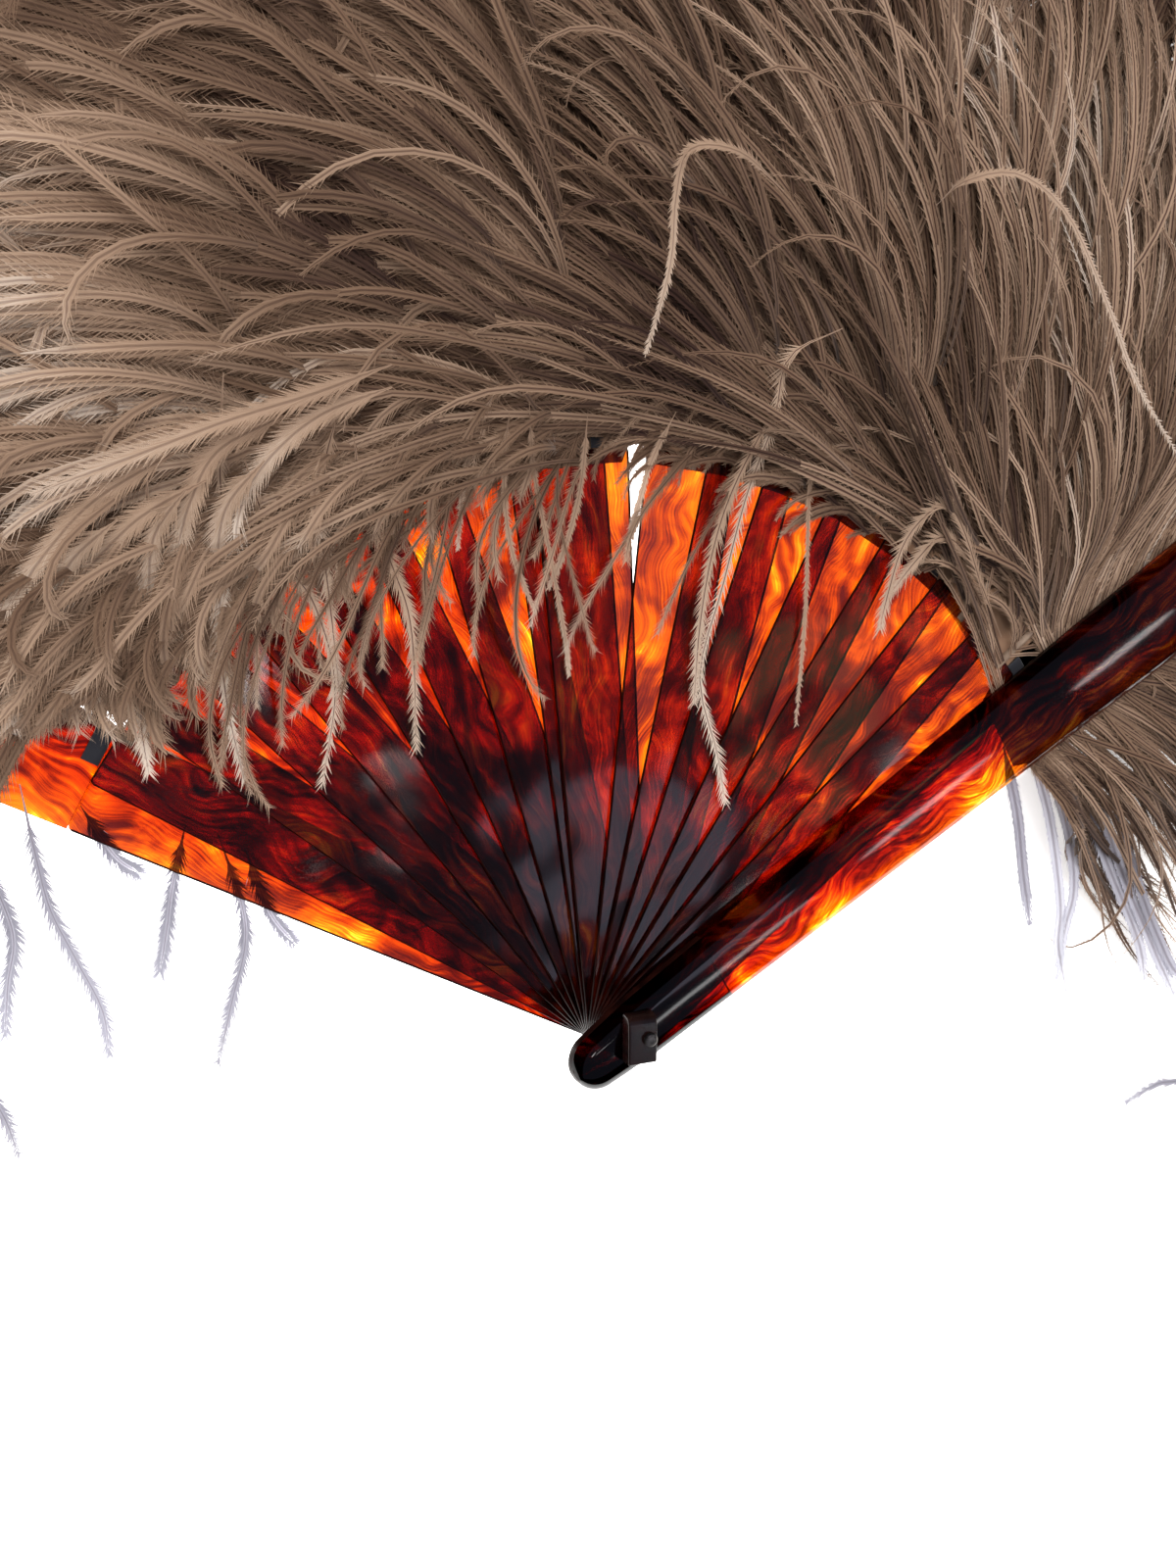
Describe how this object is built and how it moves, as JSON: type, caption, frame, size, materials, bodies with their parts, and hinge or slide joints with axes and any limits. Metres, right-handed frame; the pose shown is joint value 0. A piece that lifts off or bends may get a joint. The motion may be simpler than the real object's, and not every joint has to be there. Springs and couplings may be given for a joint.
{
  "type": "folding feather fan",
  "caption": "Open folding fan of mottled tortoiseshell-look blades on one pivot pin, with a taupe ostrich plume at each blade tip; folds into a flat stack.",
  "frame": {"origin": "pivot axis at the flat end of the pin's tail, in the plane of the rear guard's back", "axes": "+Z along the pivot from rear guard to front guard, +X across the open fan towards the front guard, +Y towards the plumes"},
  "size_m": [0.7462, 0.4444, 0.0765],
  "materials": {
    "shell": "polished tortoiseshell-look sheet",
    "plume": "soft taupe ostrich plume",
    "silk": "black silk ribbon",
    "lug": "polished dark",
    "pin": "dull turned steel"
  },
  "bodies": {
    "rear": {"rear_guard": "shell", "rear_plume": "plume", "rear_tab": "silk", "pivot_lug": "lug", "pivot_pin": "pin"},
    "blade_01": {"stick_01": "shell", "plume_01": "plume", "tab_01": "silk"},
    "blade_02": {"stick_02": "shell", "plume_02": "plume", "tab_02": "silk"},
    "blade_03": {"stick_03": "shell", "plume_03": "plume", "tab_03": "silk"},
    "blade_04": {"stick_04": "shell", "plume_04": "plume", "tab_04": "silk"},
    "blade_05": {"stick_05": "shell", "plume_05": "plume", "tab_05": "silk"},
    "blade_06": {"stick_06": "shell", "plume_06": "plume", "tab_06": "silk"},
    "blade_07": {"stick_07": "shell", "plume_07": "plume", "tab_07": "silk"},
    "blade_08": {"stick_08": "shell", "plume_08": "plume", "tab_08": "silk"},
    "blade_09": {"stick_09": "shell", "plume_09": "plume", "tab_09": "silk"},
    "blade_10": {"stick_10": "shell", "plume_10": "plume", "tab_10": "silk"},
    "blade_11": {"stick_11": "shell", "plume_11": "plume", "tab_11": "silk"},
    "blade_12": {"stick_12": "shell", "plume_12": "plume", "tab_12": "silk"},
    "blade_13": {"stick_13": "shell", "plume_13": "plume", "tab_13": "silk"},
    "blade_14": {"stick_14": "shell", "plume_14": "plume", "tab_14": "silk"},
    "blade_15": {"stick_15": "shell", "plume_15": "plume", "tab_15": "silk"},
    "blade_16": {"stick_16": "shell", "plume_16": "plume", "tab_16": "silk"},
    "front": {"front_guard": "shell", "front_plume": "plume"}
  },
  "joints": [
    {"name": "fold", "type": "hinge", "parent": "rear", "child": "front", "pos_m": [0, 0, 0], "axis": [0, 0, 1], "range_deg": [0, 119.7]},
    {"name": "fold_01", "type": "hinge", "parent": "rear", "child": "blade_01", "pos_m": [0, 0, 0], "axis": [0, 0, 1], "range_deg": [0, 4.6]},
    {"name": "fold_02", "type": "hinge", "parent": "rear", "child": "blade_02", "pos_m": [0, 0, 0], "axis": [0, 0, 1], "range_deg": [0, 11.3]},
    {"name": "fold_03", "type": "hinge", "parent": "rear", "child": "blade_03", "pos_m": [0, 0, 0], "axis": [0, 0, 1], "range_deg": [0, 17.8]},
    {"name": "fold_04", "type": "hinge", "parent": "rear", "child": "blade_04", "pos_m": [0, 0, 0], "axis": [0, 0, 1], "range_deg": [0, 24.6]},
    {"name": "fold_05", "type": "hinge", "parent": "rear", "child": "blade_05", "pos_m": [0, 0, 0], "axis": [0, 0, 1], "range_deg": [0, 32.2]},
    {"name": "fold_06", "type": "hinge", "parent": "rear", "child": "blade_06", "pos_m": [0, 0, 0], "axis": [0, 0, 1], "range_deg": [0, 38.8]},
    {"name": "fold_07", "type": "hinge", "parent": "rear", "child": "blade_07", "pos_m": [0, 0, 0], "axis": [0, 0, 1], "range_deg": [0, 46.1]},
    {"name": "fold_08", "type": "hinge", "parent": "rear", "child": "blade_08", "pos_m": [0, 0, 0], "axis": [0, 0, 1], "range_deg": [0, 54.3]},
    {"name": "fold_09", "type": "hinge", "parent": "rear", "child": "blade_09", "pos_m": [0, 0, 0], "axis": [0, 0, 1], "range_deg": [0, 56.7]},
    {"name": "fold_10", "type": "hinge", "parent": "rear", "child": "blade_10", "pos_m": [0, 0, 0], "axis": [0, 0, 1], "range_deg": [0, 68.7]},
    {"name": "fold_11", "type": "hinge", "parent": "rear", "child": "blade_11", "pos_m": [0, 0, 0], "axis": [0, 0, 1], "range_deg": [0, 75.3]},
    {"name": "fold_12", "type": "hinge", "parent": "rear", "child": "blade_12", "pos_m": [0, 0, 0], "axis": [0, 0, 1], "range_deg": [0, 81.8]},
    {"name": "fold_13", "type": "hinge", "parent": "rear", "child": "blade_13", "pos_m": [0, 0, 0], "axis": [0, 0, 1], "range_deg": [0, 89.7]},
    {"name": "fold_14", "type": "hinge", "parent": "rear", "child": "blade_14", "pos_m": [0, 0, 0], "axis": [0, 0, 1], "range_deg": [0, 97.4]},
    {"name": "fold_15", "type": "hinge", "parent": "rear", "child": "blade_15", "pos_m": [0, 0, 0], "axis": [0, 0, 1], "range_deg": [0, 105.3]},
    {"name": "fold_16", "type": "hinge", "parent": "rear", "child": "blade_16", "pos_m": [0, 0, 0], "axis": [0, 0, 1], "range_deg": [0, 112.6]}
  ],
  "couplings": [
    {"joint": "fold_01", "follows": "fold", "ratio": 0.038429},
    {"joint": "fold_02", "follows": "fold", "ratio": 0.094403},
    {"joint": "fold_03", "follows": "fold", "ratio": 0.14871},
    {"joint": "fold_04", "follows": "fold", "ratio": 0.20551},
    {"joint": "fold_05", "follows": "fold", "ratio": 0.26901},
    {"joint": "fold_06", "follows": "fold", "ratio": 0.32414},
    {"joint": "fold_07", "follows": "fold", "ratio": 0.38513},
    {"joint": "fold_08", "follows": "fold", "ratio": 0.45363},
    {"joint": "fold_09", "follows": "fold", "ratio": 0.47368},
    {"joint": "fold_10", "follows": "fold", "ratio": 0.57393},
    {"joint": "fold_11", "follows": "fold", "ratio": 0.62907},
    {"joint": "fold_12", "follows": "fold", "ratio": 0.68338},
    {"joint": "fold_13", "follows": "fold", "ratio": 0.74937},
    {"joint": "fold_14", "follows": "fold", "ratio": 0.8137},
    {"joint": "fold_15", "follows": "fold", "ratio": 0.8797},
    {"joint": "fold_16", "follows": "fold", "ratio": 0.94068}
  ]
}
